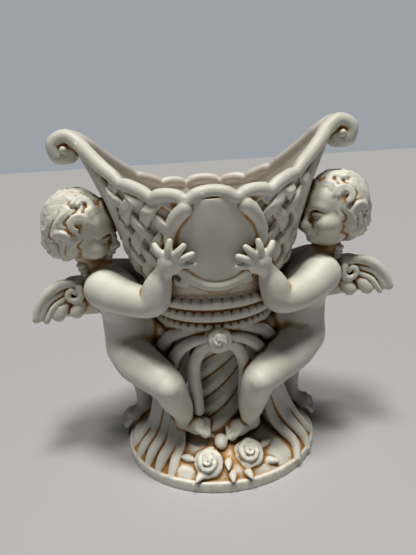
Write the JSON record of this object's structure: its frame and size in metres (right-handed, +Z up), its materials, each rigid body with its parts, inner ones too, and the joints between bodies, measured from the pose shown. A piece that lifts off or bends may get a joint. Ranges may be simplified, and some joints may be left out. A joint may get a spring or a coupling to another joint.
{
  "type": "cherub garden statue",
  "caption": "Cast statue planter: winged cherubs crouch on an oval draped base and hold up an open oval basket with scroll ends.",
  "frame": {"origin": "middle of the flat underside of the oval base, on the floor", "axes": "+X towards the viewer's right along the basket's length, +Y away from the viewer, +Z up"},
  "size_m": [0.288, 0.144, 0.2801],
  "materials": {
    "bisque": "unglazed cream bisque with a brown antique wash"
  },
  "bodies": {
    "root": {"cherub_planter": "bisque"}
  },
  "joints": []
}
